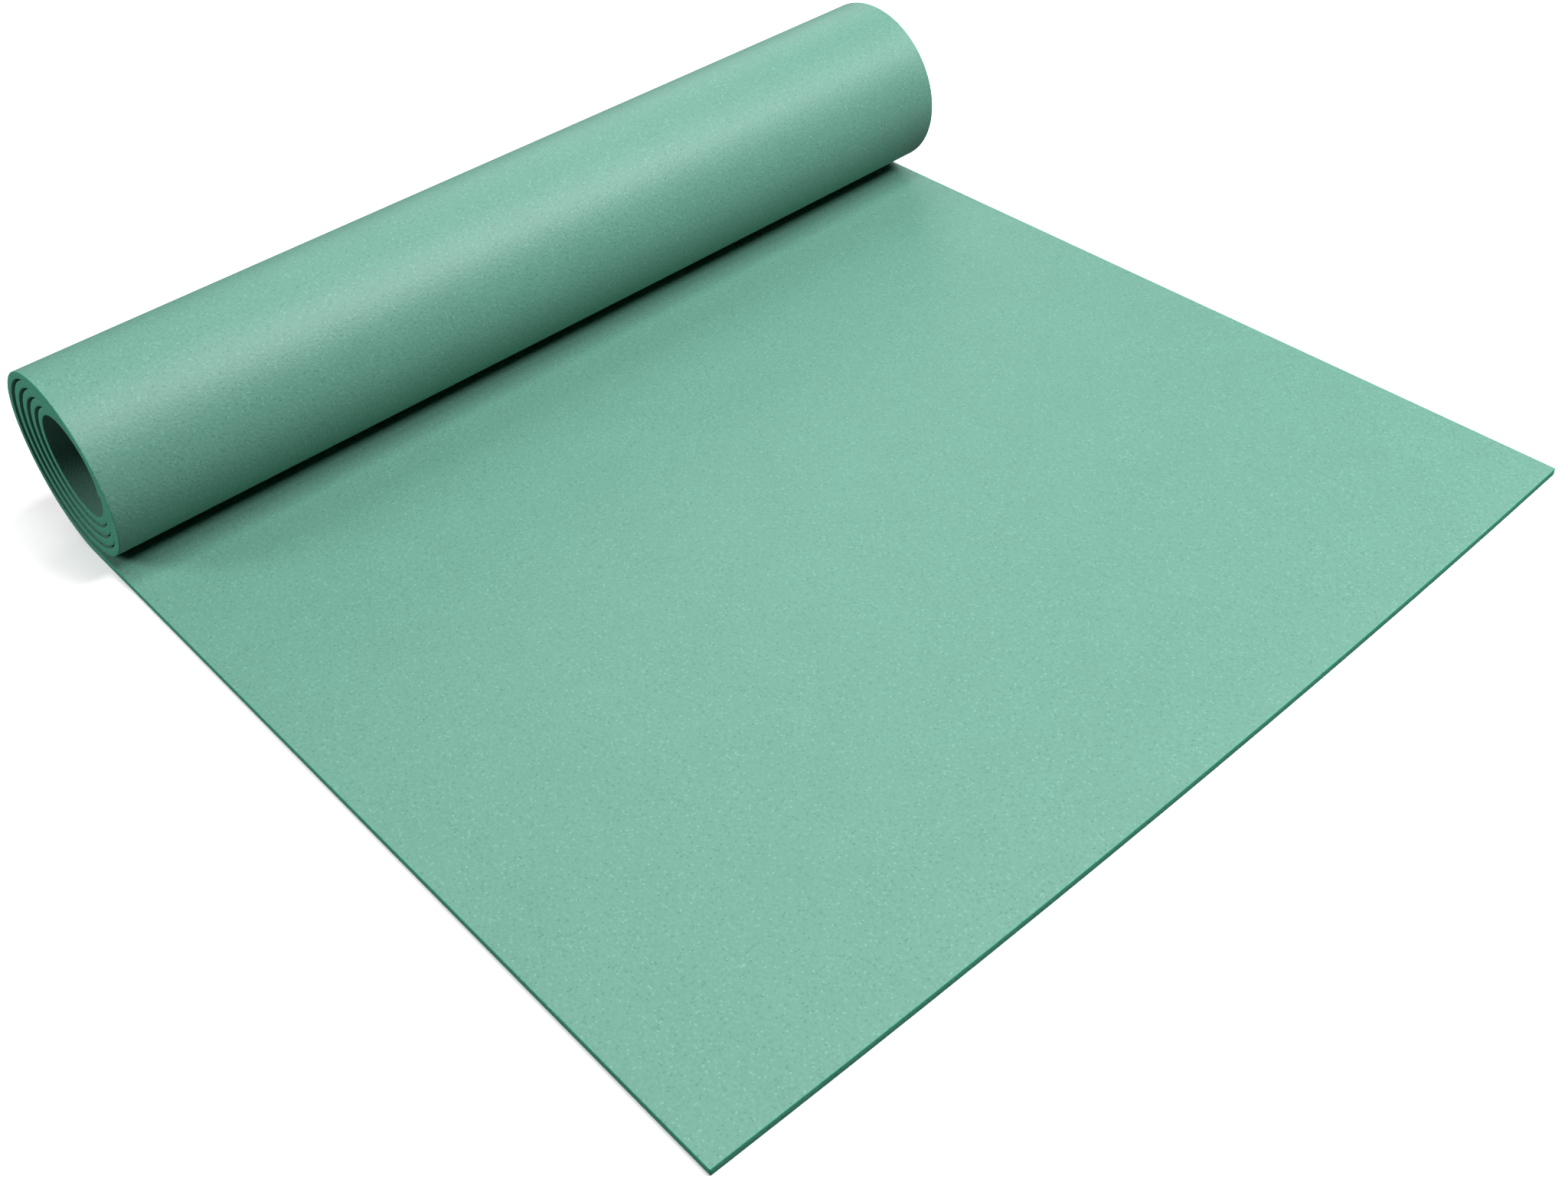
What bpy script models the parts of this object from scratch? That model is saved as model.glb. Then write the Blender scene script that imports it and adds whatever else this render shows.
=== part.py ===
"""Yoga mat, partly unrolled: a flat run with the rest of the sheet wound in a roll at its far end.

Metres, +Z up. The mat lies on Z = 0, the roll's axis lies along Y and the flat run points along +X. The
origin is under the middle of the whole mat. With the sizes below, the sheet is 1.83 m long when it is flat.

The mat is one sheet of foam. The outer turns of the roll are cut across into strips, so that they can uncurl
onto the floor: each strip turns on the one before it, about a line in the middle of the thickness. At each
seam the earlier strip ends in a round nose about that line, and the next one starts with the hollow that
fits it. The coil is the rest of the roll, which rolls away along the floor in one piece as they open.

The winding is the involute of a small circle, so its turns keep the same gap all round, and it leaves the
flat run without a kink. Each turn sits a little further along Y than the one outside it. An angle along the
winding is the turn of the sheet's direction since it left the floor.
"""

import math

import bmesh
import bpy
from mathutils import Vector

# The sheet, and the stretch of it that lies flat
MAT_WIDTH = 0.61
THICKNESS = 0.0045
FLAT_LENGTH = 0.53
END_BOW = 0.005

# The roll: its outer face's radius at the floor, the air between turns, and how far each turn creeps along Y
ROLL_RADIUS = 0.0595
TURN_GAP = 0.00135
TURN_COUNT = 4.8
CREEP_PER_TURN = 0.00115

# The turns that can open and the strips that they are cut into, and at each seam the nose's radius past half
# the thickness and the gap between nose and hollow
OPEN_TURN_COUNT = 1.5
STRIP_COUNT = 20
NOSE_EXTRA = 0.00075
SEAM_GAP = 0.0003

# Facets along a strip, round a turn of the coil, through a seam and across the bowed free end
STRIP_FACETS = 8
COIL_FACETS = 72
SEAM_FACETS = 6
BOW_FACETS = 12

SHARP_ANGLE = math.radians(30)
FOAM_COLOUR = (0.205, 0.495, 0.375, 1.0)
FOAM_ROUGHNESS = 0.85

# Worked out from the sizes above
HALF_THICKNESS = THICKNESS / 2
NOSE_RADIUS = HALF_THICKNESS + NOSE_EXTRA
HOLLOW_RADIUS = NOSE_RADIUS + SEAM_GAP
SHRINK = (THICKNESS + TURN_GAP) / math.tau
START_RADIUS = ROLL_RADIUS - HALF_THICKNESS
END_ANGLE = math.tau * TURN_COUNT
FACES = (-HALF_THICKNESS, HALF_THICKNESS)


def heading(angle):
    """The sheet's direction of travel into the roll."""
    return Vector((-math.cos(angle), 0, math.sin(angle)))


def inward(angle):
    """The direction square to the sheet, from its outer face to its inner face."""
    return Vector((math.sin(angle), 0, math.cos(angle)))


def winding(angle, height=0.0):
    """A point of the winding, at a height from the middle of the thickness towards the roll's centre."""
    creep = CREEP_PER_TURN * angle / math.tau
    centre = Vector((-SHRINK, creep, HALF_THICKNESS + START_RADIUS))
    radius = START_RADIUS - SHRINK * angle - height
    return centre - radius * inward(angle) - SHRINK * heading(angle)


def seam_angle(number):
    """Where a seam's pivot lies. Seam 0 is between the flat run and the first strip, the last is the coil's."""
    return math.tau * OPEN_TURN_COUNT * number / STRIP_COUNT


def reach_angle(pivot_angle, height, radius):
    """Where a face of the winding, past a pivot, lies at this radius from the pivot."""
    pivot = winding(pivot_angle)
    near, far = pivot_angle, pivot_angle + math.pi / 2
    for _ in range(50):
        middle = (near + far) / 2
        if (winding(middle, height) - pivot).length < radius:
            near = middle
        else:
            far = middle
    return near


def seam_arc(pivot_angle, radius):
    """An arc through the thickness about a pivot, from the outer face to the inner face."""
    pivot = winding(pivot_angle)
    along, across = heading(pivot_angle), inward(pivot_angle)
    ends = []
    for height in FACES:
        corner = winding(reach_angle(pivot_angle, height, radius), height) - pivot
        ends.append(math.atan2(corner.dot(across), corner.dot(along)))
    arc = []
    for step in range(SEAM_FACETS + 1):
        turn = ends[0] + (ends[1] - ends[0]) * step / SEAM_FACETS
        arc.append(pivot + radius * (math.cos(turn) * along + math.sin(turn) * across))
    return arc


def face_between(first_angle, last_angle, height, facets):
    """Points along one face of the winding, both ends included."""
    step = (last_angle - first_angle) / facets
    return [winding(first_angle + step * n, height) for n in range(facets + 1)]


def wound_outline(start, end, facets, has_nose):
    """The edge of a stretch of the winding. It starts with a hollow, and ends in a nose or square."""
    begins = [reach_angle(start, height, HOLLOW_RADIUS) for height in FACES]
    stops, nose = [end, end], []
    if has_nose:
        stops = [reach_angle(end, height, NOSE_RADIUS) for height in FACES]
        nose = seam_arc(end, NOSE_RADIUS)[1:-1]
    outer = face_between(begins[0], stops[0], FACES[0], facets)
    inner = face_between(begins[1], stops[1], FACES[1], facets)
    hollow = seam_arc(start, HOLLOW_RADIUS)[1:-1]
    return outer + nose + inner[::-1] + hollow[::-1]


def flat_outline(length):
    """The edge of the flat run, from its free end at this length to its nose."""
    under = [Vector((length, 0, 0)), Vector((0, 0, 0))]
    over = [Vector((0, 0, THICKNESS)), Vector((length, 0, THICKNESS))]
    return under + seam_arc(0, NOSE_RADIUS) + over


def side_panels(facets, points):
    """Splits a wound stretch's edge, by the numbers of its points, into panels that fill its side face."""
    outer = list(range(facets + 1))
    inner = [points - SEAM_FACETS - n for n in outer]
    panels = [[outer[n], outer[n + 1], inner[n + 1], inner[n]] for n in range(1, facets)]
    hollow = list(range(inner[0] + 1, points))
    nose = list(range(outer[-1] + 1, inner[-1]))
    panels.append([outer[0], outer[1], inner[1], inner[0]] + hollow)
    if nose:
        panels.append([outer[-1]] + nose + [inner[-1]])
    return panels


def solid(name, rings, panels, origin, material):
    """A closed solid through equal rings of points, its two side faces filled by panels of point numbers."""
    shape = bmesh.new()
    loops = [[shape.verts.new(point - origin) for point in ring] for ring in rings]
    for low, high in zip(loops, loops[1:]):
        for n, vertex in enumerate(low):
            shape.faces.new((vertex, low[n - 1], high[n - 1], high[n]))
    for loop in (loops[0], loops[-1]):
        for panel in panels:
            shape.faces.new([loop[n] for n in panel])
    bmesh.ops.recalc_face_normals(shape, faces=shape.faces)
    mesh = bpy.data.meshes.new(name)
    shape.to_mesh(mesh)
    shape.free()
    mesh.shade_smooth()
    mesh.set_sharp_from_angle(angle=SHARP_ANGLE)
    mesh.materials.append(material)
    made = bpy.data.objects.new(name, mesh)
    bpy.context.scene.collection.objects.link(made)
    return made


def flat_run(shift, material):
    """The stretch that lies flat. Its free end is cut in a shallow bow."""
    rings = []
    for n in range(BOW_FACETS + 1):
        across = 2 * n / BOW_FACETS - 1
        place = shift + Vector((0, across * MAT_WIDTH / 2, 0))
        rings.append([point + place for point in flat_outline(FLAT_LENGTH + END_BOW * (1 - across**2))])
    return solid("flat_run", rings, [list(range(len(rings[0])))], Vector((0, 0, 0)), material)


def wound_piece(name, outline, facets, pivot, shift, material):
    """A stretch of the winding, as wide as the mat, with its origin on the axis that it turns on."""
    half = Vector((0, MAT_WIDTH / 2, 0))
    rings = [[point + shift - half for point in outline], [point + shift + half for point in outline]]
    return solid(name, rings, side_panels(facets, len(outline)), pivot + shift, material)


def foam():
    """Matt sea-green foam."""
    material = bpy.data.materials.new("foam")
    material.diffuse_color = FOAM_COLOUR
    material.use_nodes = True
    shader = material.node_tree.nodes["Principled BSDF"]
    shader.inputs["Base Color"].default_value = FOAM_COLOUR
    shader.inputs["Roughness"].default_value = FOAM_ROUGHNESS
    shader.inputs["Metallic"].default_value = 0.0
    return material


def stretches():
    """Each wound piece's name, edge, facets and pivot, from the flat run inwards."""
    made = []
    for number in range(1, STRIP_COUNT + 1):
        start, end = seam_angle(number - 1), seam_angle(number)
        outline = wound_outline(start, end, STRIP_FACETS, True)
        made.append((f"roll_strip_{number:02d}", outline, STRIP_FACETS, winding(start)))
    start = seam_angle(STRIP_COUNT)
    facets = round(COIL_FACETS * (END_ANGLE - start) / math.tau)
    made.append(("coil", wound_outline(start, END_ANGLE, facets, False), facets, winding(start)))
    return made


def centring(pieces):
    """What moves the whole mat from the line where the roll leaves the floor to its place over the origin."""
    low = min(point.x for piece in pieces for point in piece[1])
    high = FLAT_LENGTH + END_BOW
    return Vector((-(low + high) / 2, -winding(END_ANGLE).y / 2, 0))


def main():
    for old in list(bpy.data.objects):
        bpy.data.objects.remove(old, do_unlink=True)
    pieces = stretches()
    shift = centring(pieces)
    material = foam()
    carrier = flat_run(shift, material)
    carried_at = Vector((0, 0, 0))
    for name, outline, facets, pivot in pieces:
        piece = wound_piece(name, outline, facets, pivot, shift, material)
        piece.parent = carrier
        piece.location = pivot + shift - carried_at
        carrier, carried_at = piece, pivot + shift
    bpy.context.view_layer.update()


if __name__ == "__main__":
    main()
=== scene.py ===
"""The looks of a partly unrolled yoga mat: one smooth sheet of speckled sea-green foam on a pale floor.

Metres, +Z up. The mat lies on Z = 0 with its roll's axis along Y and its flat run along +X. The sheet is made
as one stretch for each joint that it bends over, from the middle of one strip to the middle of the next, with
the flat run before them and the coil after them. A place along the sheet is the distance from the line where
the roll leaves the floor: positive towards the free end, negative into the roll.
"""

import math

import bmesh
import bpy
from mathutils import Matrix, Vector


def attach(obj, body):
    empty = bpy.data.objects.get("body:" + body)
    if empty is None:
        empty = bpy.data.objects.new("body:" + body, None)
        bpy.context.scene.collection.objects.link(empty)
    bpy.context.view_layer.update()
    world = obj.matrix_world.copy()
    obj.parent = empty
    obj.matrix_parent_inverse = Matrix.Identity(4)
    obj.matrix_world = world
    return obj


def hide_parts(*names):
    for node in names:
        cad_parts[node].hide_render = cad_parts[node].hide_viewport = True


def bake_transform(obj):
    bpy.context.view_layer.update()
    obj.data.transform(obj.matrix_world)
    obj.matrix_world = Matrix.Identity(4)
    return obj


# The sheet and its roll, as they are in the part
MAT_WIDTH = 0.61
THICKNESS = 0.0045
FLAT_LENGTH = 0.53
END_BOW = 0.005
ROLL_RADIUS = 0.0595
TURN_GAP = 0.00135
TURN_COUNT = 4.8
CREEP_PER_TURN = 0.00115
OPEN_TURN_COUNT = 1.5
STRIP_COUNT = 20

# The cut edge's rounding, how far the free end draws in by it, and the band beside it that keeps the rounding's
# shading to itself
EDGE_RADIUS = 0.0004
EDGE_STEPS = 4
END_INSET = 0.9 * EDGE_RADIUS
EDGE_BAND = 0.0005

# How finely the sheet is divided: across its width, along the flat run, along the lead into the roll, and round
# the roll, and the angle from which an edge is drawn sharp
WIDTH_STEPS = 16
FLAT_STEPS = 24
LEAD_STEPS = 8
ROLL_STEP = math.radians(1.5)
SHARP_ANGLE = math.radians(50)

# Worked out from the sizes above
HALF_WIDTH = MAT_WIDTH / 2
HALF_THICKNESS = THICKNESS / 2
SHRINK = (THICKNESS + TURN_GAP) / math.tau
START_RADIUS = ROLL_RADIUS - HALF_THICKNESS
END_ANGLE = math.tau * TURN_COUNT
STRIP_ANGLE = math.tau * OPEN_TURN_COUNT / STRIP_COUNT

# The camera, from the photograph's perspective: where it looks from the line under the roll, and its lens
VIEW_TURN = math.radians(140.458)
VIEW_DROP = math.radians(39.845)
VIEW_ROLL = math.radians(-4.009)
VIEW_DISTANCE = 0.9994
VIEW_CENTRE = (0.2635, 0.2776)
VIEW_FOCAL = 2387.2
VIEW_MIDDLE = (1020.0, 700.0)
PHOTO_SIZE = (2048, 1540)
SENSOR = 36.0
VIEW_NEAR = 0.05
VIEW_FAR = 100

# How much lighter and darker than the foam its specks are
LIGHT_SPECK = 1.25
DARK_SPECK = 0.78

# The lamps' distance from the mat. Each lamp has its rise over +X and its lean towards +Y in degrees, its size
# along the mat and across it, and its power.
LIGHT_DISTANCE = 2.2
LAMPS = (
    ("key", 59.5, 20, (0.5, 1.2), 36.4),
    ("high", 74, 20, (0.3, 1.2), 16.4),
    ("side", 66, 45, (0.5, 0.8), 11.8),
    ("top", 85, 5, (0.5, 1.0), 24.2),
    ("back", 128, 25, (1.1, 1.3), 4.6),
    ("low", 152, 30, (0.6, 1.4), 7.8),
    ("end", 124, -50, (0.6, 0.6), 21.6),
)

# The floor's half width and where it fades into the backdrop. Of the floor's two tones, one is what the camera
# sees and the other what lights the mat, and its glow is seen by the camera alone. The backdrop has two
# strengths in the same way.
FLOOR_REACH = 30.0
FADE_START = 1.0
FADE_END = 2.0
FLOOR_SEEN = [0.95] * 3
FLOOR_THROWN = [0.12] * 3
FLOOR_GLOW = 0.3
BACKDROP_SEEN = 1.0
BACKDROP_THROWN = 0.01


def creep(angle):
    """How far the roll's turns have moved along its axis at an angle."""
    return CREEP_PER_TURN * angle / math.tau


def inward(angle):
    """The direction square to the sheet, from its outer face to its inner face."""
    return Vector((math.sin(angle), 0, math.cos(angle)))


def winding(angle, height=0.0):
    """A point of the roll, at a height from the middle of the thickness towards the roll's centre."""
    heading = Vector((-math.cos(angle), 0, math.sin(angle)))
    centre = Vector((-SHRINK, creep(angle), HALF_THICKNESS + START_RADIUS))
    return centre - (START_RADIUS - SHRINK * angle - height) * inward(angle) - SHRINK * heading


def lowest_x():
    """The furthest that the roll reaches behind the line where it leaves the floor. That is near 90 degrees."""
    tenths = range(600, 1200)
    return min(winding(math.radians(n / 10), -HALF_THICKNESS).x for n in tenths)


SHIFT = Vector((-(lowest_x() + FLAT_LENGTH + END_BOW) / 2, -creep(END_ANGLE) / 2, 0))


def wound_station(angle):
    """A station of the sheet, at an angle of the roll: its middle, the way up, its place along and its inset."""
    along = START_RADIUS * angle - SHRINK * angle**2 / 2
    return winding(angle) + SHIFT, inward(angle), -along, 0.0


def flat_station(along, inset=0.0):
    """The same for a place on the flat run. The inset is how far the sheet's outline draws in there."""
    return Vector((along, 0, HALF_THICKNESS)) + SHIFT, Vector((0, 0, 1)), along, inset


def outline(inset):
    """Across the sheet, from one end of its width to the other: (y, half height)."""
    half_width, half_height = HALF_WIDTH - inset, HALF_THICKNESS - inset
    radius = max(EDGE_RADIUS - inset, EDGE_RADIUS / 10)
    side = []
    for n in range(EDGE_STEPS + 1):
        turn = math.pi / 2 * n / EDGE_STEPS
        y = half_width - radius * (1 - math.sin(turn))
        side.append((y, half_height - radius * (1 - math.cos(turn))))
    band = half_width - radius - EDGE_BAND
    inner = [(band * (2 * n / WIDTH_STEPS - 1), half_height) for n in range(WIDTH_STEPS + 1)]
    left = [(-y, height) for y, height in side[::-1]]
    return left + inner + side


def sheet_piece(name, stations, materials):
    """A closed stretch of the sheet through its stations, with skin and, on its edges and ends, cut foam whose
    lighter tone is partly painted light.

    Its UV map has places in metres: along and across the sheet, or along a cut face and up it.
    """
    shape = bmesh.new()
    layer = shape.loops.layers.uv.new("Sheet")
    places = {}
    tops, bottoms = [], []
    for middle, up, along, inset in stations:
        top, bottom = [], []
        for y, height in outline(inset):
            bow = END_BOW * (1 - (y / HALF_WIDTH) ** 2) if along > 0 else 0.0
            bow *= min(1.0, max(0.0, along / FLAT_LENGTH)) ** 2
            at = middle + Vector((bow, y, 0))
            for row, sign in ((top, 1), (bottom, -1)):
                vertex = shape.verts.new(at + sign * height * up)
                places[vertex] = (along + bow, y, sign * height)
                row.append(vertex)
        tops.append(top)
        bottoms.append(bottom)
    count = len(tops[0])
    skin, rim, side, end = [], [], [], []
    for n in range(len(stations) - 1):
        for k in range(count - 1):
            is_rim = not EDGE_STEPS <= k < count - 1 - EDGE_STEPS or stations[n + 1][3] > 0
            faces = rim if is_rim else skin
            faces.append((tops[n][k], tops[n][k + 1], tops[n + 1][k + 1], tops[n + 1][k]))
            faces.append((bottoms[n][k], bottoms[n + 1][k], bottoms[n + 1][k + 1], bottoms[n][k + 1]))
        for k in (0, count - 1):
            side.append((tops[n][k], tops[n + 1][k], bottoms[n + 1][k], bottoms[n][k]))
    for n in (0, len(stations) - 1):
        for k in range(count - 1):
            end.append((tops[n][k], bottoms[n][k], bottoms[n][k + 1], tops[n][k + 1]))
    # The rounded edges, sides and ends take the second material: cut foam, painted lighter than the skin as
    # painted light.
    for faces, number in ((skin, 0), (rim, 1), (side, 1), (end, 1)):
        for corners in faces:
            face = shape.faces.new(corners)
            face.material_index = number
            for loop in face.loops:
                along, across, height = places[loop.vert]
                if faces is side:
                    loop[layer].uv = (along, height)
                elif faces is end:
                    loop[layer].uv = (across, height)
                else:
                    loop[layer].uv = (along, across + math.copysign(MAT_WIDTH, height))
    bmesh.ops.recalc_face_normals(shape, faces=shape.faces)
    mesh = bpy.data.meshes.new(name)
    shape.to_mesh(mesh)
    shape.free()
    mesh.shade_smooth()
    mesh.set_sharp_from_angle(angle=SHARP_ANGLE)
    for material in materials:
        mesh.materials.append(material)
    piece = bpy.data.objects.new(name, mesh)
    bpy.context.scene.collection.objects.link(piece)
    return piece


def node(tree, kind, where, **values):
    """A new node, at a place in the node editor, with some of its own settings."""
    made = tree.nodes.new(kind)
    made.location = where
    for name, value in values.items():
        setattr(made, name, value)
    return made


def ramp(tree, where, fac, *stops):
    """A colour ramp through (position, colour) stops."""
    made = node(tree, "ShaderNodeValToRGB", where)
    elements = made.color_ramp.elements
    while len(elements) < len(stops):
        elements.new(0.5)
    for element, (position, colour) in zip(elements, stops):
        element.position = position
        element.color = (*colour, 1)
    tree.links.new(fac, made.inputs["Fac"])
    return made.outputs["Color"]


def texture(tree, kind, where, place, **values):
    """A texture laid out by the UV map, with some of its inputs set."""
    made = node(tree, kind, where)
    for name, value in values.items():
        made.inputs[name].default_value = value
    tree.links.new(place.outputs["UV"], made.inputs["Vector"])
    return made


def blended(tree, where, kind, factor, first, second):
    """Two colours blended. Each of them, and the factor too, may be another node's output."""
    made = node(tree, "ShaderNodeMix", where, data_type="RGBA", blend_type=kind)
    for name, value in (("Factor", factor), ("A", first), ("B", second)):
        if isinstance(value, bpy.types.NodeSocket):
            tree.links.new(value, made.inputs[name])
        else:
            made.inputs[name].default_value = value if name == "Factor" else (*value, 1)
    return made.outputs["Result"]


def worked_out(tree, where, operation, first, second):
    """Two nodes' outputs multiplied, or one subtracted from the other."""
    made = node(tree, "ShaderNodeMath", where, operation=operation)
    tree.links.new(first, made.inputs[0])
    tree.links.new(second, made.inputs[1])
    return made.outputs["Value"]


def mixed(tree, where, factor, first, second):
    """Two shaders mixed by another node's output, and sent to the material's or the world's output."""
    made = node(tree, "ShaderNodeMixShader", where)
    tree.links.new(factor, made.inputs["Fac"])
    tree.links.new(first, made.inputs[1])
    tree.links.new(second, made.inputs[2])
    last = tree.nodes.get("Material Output") or tree.nodes["World Output"]
    tree.links.new(made.outputs["Shader"], last.inputs["Surface"])


def foam(name, dark, light, roughness, gloss):
    """Foam between two tones: a pebbled face with sparse light and dark specks, and soft uneven patches."""
    material = bpy.data.materials.new(name)
    material.use_nodes = True
    tree = material.node_tree
    shader = tree.nodes["Principled BSDF"]
    shader.inputs["Roughness"].default_value = roughness
    shader.inputs["Specular IOR Level"].default_value = gloss
    place = node(tree, "ShaderNodeUVMap", (-1600, 0), uv_map="Sheet")

    grain = texture(tree, "ShaderNodeTexNoise", (-1350, 500), place, Scale=520.0, Detail=3.0, Roughness=0.6)
    tone = ramp(tree, (-1100, 500), grain.outputs["Fac"], (0.25, dark), (0.75, light))
    patches = texture(tree, "ShaderNodeTexNoise", (-1350, 800), place, Scale=22.0, Detail=5.0, Roughness=0.65)
    cloud = ramp(tree, (-1100, 800), patches.outputs["Fac"], (0.3, [0.975] * 3), (0.7, [1.025] * 3))
    colour = blended(tree, (-800, 600), "MULTIPLY", 1.0, tone, cloud)

    # Each cell may hold a speck in its middle: a light one, a dark one or none, by the cell's own random colour
    cells = texture(tree, "ShaderNodeTexVoronoi", (-1350, 100), place, Scale=700.0)
    spot = ramp(tree, (-1100, 200), cells.outputs["Distance"], (0.15, [1] * 3), (0.55, [0] * 3))
    pick = node(tree, "ShaderNodeSeparateColor", (-1100, -50))
    tree.links.new(cells.outputs["Color"], pick.inputs["Color"])
    tints = (("Red", [c * LIGHT_SPECK for c in light]), ("Green", [c * DARK_SPECK for c in dark]))
    for n, (channel, tint) in enumerate(tints):
        chosen = ramp(tree, (-850, 200 - 250 * n), pick.outputs[channel], (0.70, [0] * 3), (0.95, [1] * 3))
        factor = worked_out(tree, (-600, 200 - 250 * n), "MULTIPLY", spot, chosen)
        colour = blended(tree, (-400, 500 - 250 * n), "MIX", factor, colour, tint)
    tree.links.new(colour, shader.inputs["Base Color"])

    relief = node(tree, "ShaderNodeBump", (-550, -500))
    relief.inputs["Strength"].default_value = 0.3
    relief.inputs["Distance"].default_value = 0.0003
    height = worked_out(tree, (-800, -500), "SUBTRACT", grain.outputs["Fac"], cells.outputs["Distance"])
    tree.links.new(height, relief.inputs["Height"])
    tree.links.new(relief.outputs["Normal"], shader.inputs["Normal"])
    return material


def make_mat(materials):
    """The flat run, a stretch over each joint, and the coil."""
    middles = [STRIP_ANGLE * (n + 0.5) for n in range(STRIP_COUNT)]
    ride_start = START_RADIUS * middles[0]

    turns = [math.pi / 2 * n / EDGE_STEPS for n in range(EDGE_STEPS + 1)]
    insets = [END_INSET * (1 - math.cos(turn)) for turn in turns]
    bends = [END_INSET * (1 - math.sin(turn)) for turn in turns]
    flat_end = FLAT_LENGTH - bends[0] - EDGE_BAND
    places = [ride_start + (flat_end - ride_start) * n / FLAT_STEPS for n in range(FLAT_STEPS + 1)]
    stations = [flat_station(along) for along in places]
    stations += [flat_station(FLAT_LENGTH - bend, inset) for bend, inset in zip(bends, insets)]
    flat = sheet_piece("sheet_flat", stations, materials)
    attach(flat, "flat_run")
    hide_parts("flat_run")

    bodies = ["flat_run"] + [f"roll_strip_{n:02d}" for n in range(1, STRIP_COUNT + 1)] + ["coil"]
    steps = round(STRIP_ANGLE / ROLL_STEP)
    coil_start = STRIP_ANGLE * (STRIP_COUNT + 0.5)
    starts = [None] + middles
    stops = middles + [coil_start]
    for number, (start, stop) in enumerate(zip(starts, stops), 1):
        if start is None:
            stations = [flat_station(ride_start * (1 - n / LEAD_STEPS)) for n in range(LEAD_STEPS)]
            stations += [wound_station(stop * n / (steps / 2)) for n in range(int(steps / 2) + 1)]
        else:
            stations = [wound_station(start + (stop - start) * n / steps) for n in range(steps + 1)]
        piece = sheet_piece(f"sheet_bend_{number:02d}", stations, materials)
        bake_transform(piece)
        if number <= STRIP_COUNT:
            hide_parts(bodies[number])

    steps = round((END_ANGLE - coil_start) / ROLL_STEP)
    stations = [wound_station(coil_start + (END_ANGLE - coil_start) * n / steps) for n in range(steps + 1)]
    coil = sheet_piece("sheet_coil", stations, materials)
    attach(coil, "coil")
    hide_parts("coil")


def make_floor():
    """A pale floor that fades into the backdrop.

    It throws less light back on the mat than it seems to, and the camera sees its shadows lighter.
    """
    shape = bmesh.new()
    bmesh.ops.create_grid(shape, x_segments=1, y_segments=1, size=FLOOR_REACH)
    mesh = bpy.data.meshes.new("floor")
    shape.to_mesh(mesh)
    shape.free()
    material = bpy.data.materials.new("pale_floor")
    material.use_nodes = True
    tree = material.node_tree
    shader = tree.nodes["Principled BSDF"]
    shader.inputs["Roughness"].default_value = 0.9
    shader.inputs["Specular IOR Level"].default_value = 0.1
    seen = node(tree, "ShaderNodeLightPath", (-500, 0))
    white = blended(tree, (-250, 0), "MIX", seen.outputs["Is Camera Ray"], FLOOR_THROWN, FLOOR_SEEN)
    tree.links.new(white, shader.inputs["Base Color"])
    shader.inputs["Emission Color"].default_value = (FLOOR_GLOW, FLOOR_GLOW, FLOOR_GLOW, 1)
    tree.links.new(seen.outputs["Is Camera Ray"], shader.inputs["Emission Strength"])
    place = node(tree, "ShaderNodeTexCoord", (-500, 500))
    reach = node(tree, "ShaderNodeVectorMath", (-300, 500), operation="LENGTH")
    tree.links.new(place.outputs["Object"], reach.inputs[0])
    fade = node(tree, "ShaderNodeMapRange", (-100, 500), interpolation_type="SMOOTHSTEP")
    fade.inputs["From Min"].default_value = FADE_START
    fade.inputs["From Max"].default_value = FADE_END
    tree.links.new(reach.outputs["Value"], fade.inputs["Value"])
    clear = node(tree, "ShaderNodeBsdfTransparent", (100, -300))
    mixed(tree, (350, 200), fade.outputs["Result"], shader.outputs["BSDF"], clear.outputs["BSDF"])
    mesh.materials.append(material)
    floor = bpy.data.objects.new("floor", mesh)
    bpy.context.scene.collection.objects.link(floor)


def make_lamp(name, rise, side, size, power):
    """A soft panel over the mat, turned to it."""
    rise, side = math.radians(rise), math.radians(side)
    away = Vector((math.cos(rise) * math.cos(side), math.sin(side), math.sin(rise) * math.cos(side)))
    across = (Vector((0, 1, 0)) - away.y * away).normalized()
    light = bpy.data.lights.new(name, "AREA")
    light.shape = "RECTANGLE"
    light.size, light.size_y = size
    light.energy = power
    lamp = bpy.data.objects.new(name, light)
    axes = Matrix((across.cross(away), across, away)).transposed()
    lamp.matrix_world = Matrix.LocRotScale(LIGHT_DISTANCE * away, axes.to_quaternion(), None)
    bpy.context.scene.collection.objects.link(lamp)


def make_backdrop():
    """A white world that gives hardly any light itself."""
    world = bpy.data.worlds.new("studio")
    bpy.context.scene.world = world
    world.use_nodes = True
    tree = world.node_tree
    thrown = tree.nodes["Background"]
    white = node(tree, "ShaderNodeBackground", (0, -200))
    for shader, strength in ((thrown, BACKDROP_THROWN), (white, BACKDROP_SEEN)):
        shader.inputs["Color"].default_value = (1, 1, 1, 1)
        shader.inputs["Strength"].default_value = strength
    seen = node(tree, "ShaderNodeLightPath", (-200, 300))
    mixed(tree, (250, 0), seen.outputs["Is Camera Ray"], thrown.outputs["Background"], white.outputs["Background"])


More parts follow.
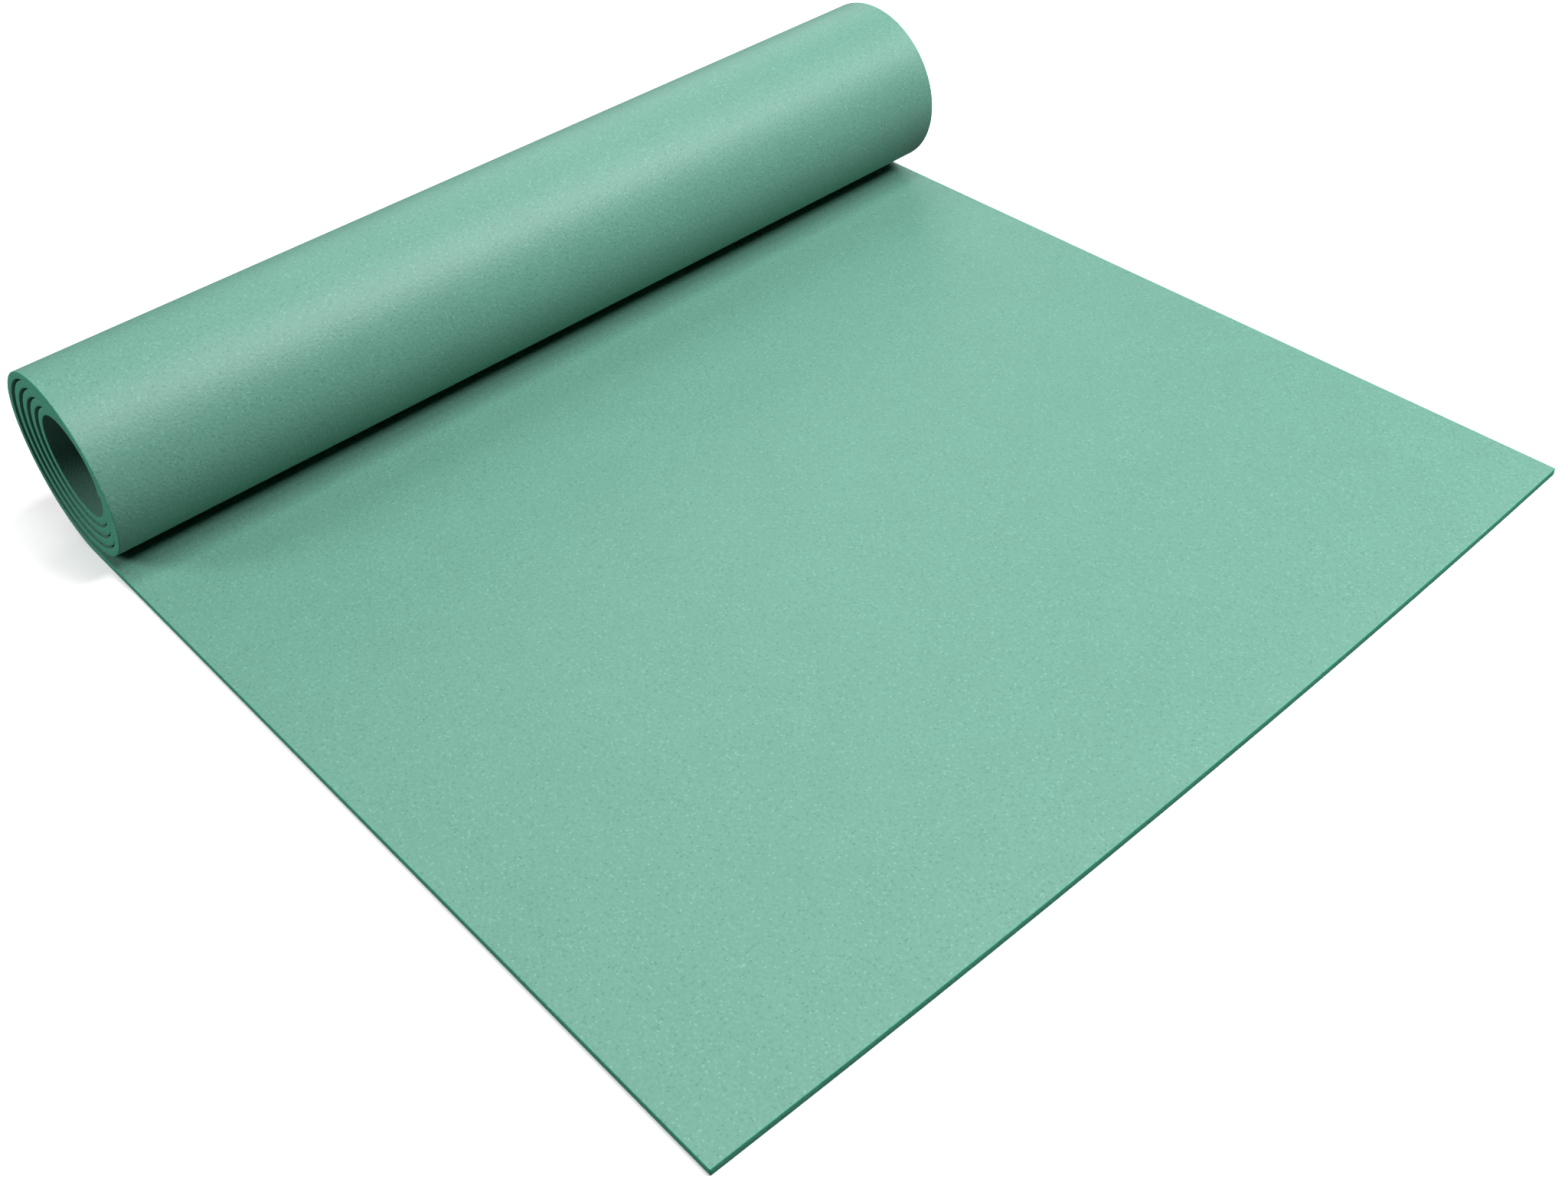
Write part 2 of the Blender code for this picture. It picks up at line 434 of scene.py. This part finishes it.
def make_camera():
    """The camera, in the photograph's place, with its small shift."""
    lens = bpy.data.cameras.new("camera")
    camera = bpy.data.objects.new("camera", lens)
    bpy.context.scene.collection.objects.link(camera)
    bpy.context.scene.camera = camera
    reach = math.cos(VIEW_DROP)
    ahead = Vector((reach * math.cos(VIEW_TURN), reach * math.sin(VIEW_TURN), -math.sin(VIEW_DROP)))
    level = Vector((math.sin(VIEW_TURN), -math.cos(VIEW_TURN), 0))
    above = level.cross(ahead)
    right = math.cos(VIEW_ROLL) * level + math.sin(VIEW_ROLL) * above
    up = math.cos(VIEW_ROLL) * above - math.sin(VIEW_ROLL) * level
    target = Vector((VIEW_CENTRE[0], VIEW_CENTRE[1] - HALF_WIDTH, 0)) + SHIFT
    place = target - ahead * VIEW_DISTANCE
    axes = Matrix((right, up, -ahead)).transposed()
    camera.matrix_world = Matrix.LocRotScale(place, axes.to_quaternion(), None)
    lens.sensor_width = SENSOR
    lens.lens = SENSOR * VIEW_FOCAL / PHOTO_SIZE[0]
    lens.shift_x = (PHOTO_SIZE[0] / 2 - VIEW_MIDDLE[0]) / PHOTO_SIZE[0]
    lens.shift_y = (VIEW_MIDDLE[1] - PHOTO_SIZE[1] / 2) / PHOTO_SIZE[0]
    lens.clip_start = VIEW_NEAR
    lens.clip_end = VIEW_FAR


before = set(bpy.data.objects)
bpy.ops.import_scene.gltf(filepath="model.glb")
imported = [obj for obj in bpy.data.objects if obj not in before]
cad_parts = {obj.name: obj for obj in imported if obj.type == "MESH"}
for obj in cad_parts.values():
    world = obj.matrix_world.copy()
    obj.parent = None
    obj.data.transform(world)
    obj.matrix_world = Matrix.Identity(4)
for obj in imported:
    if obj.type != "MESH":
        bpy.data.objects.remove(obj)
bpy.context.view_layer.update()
make_camera()
make_floor()
make_mat([
    foam("foam_skin", dark=(0.091, 0.232, 0.180), light=(0.121, 0.281, 0.219), roughness=0.52, gloss=0.39),
    # Cut foam: more saturated and matte than the skin, and a lighter green than it as painted light on the roll's
    # ends and the mat's edges, which the lamps leave dim.
    foam("foam_cut_painted_light", dark=(0.070, 0.308, 0.212), light=(0.094, 0.370, 0.256), roughness=0.9, gloss=0.1),
])
make_backdrop()
for lamp in LAMPS:
    make_lamp(*lamp)
bpy.context.scene.view_settings.view_transform = "Standard"
bpy.context.view_layer.update()
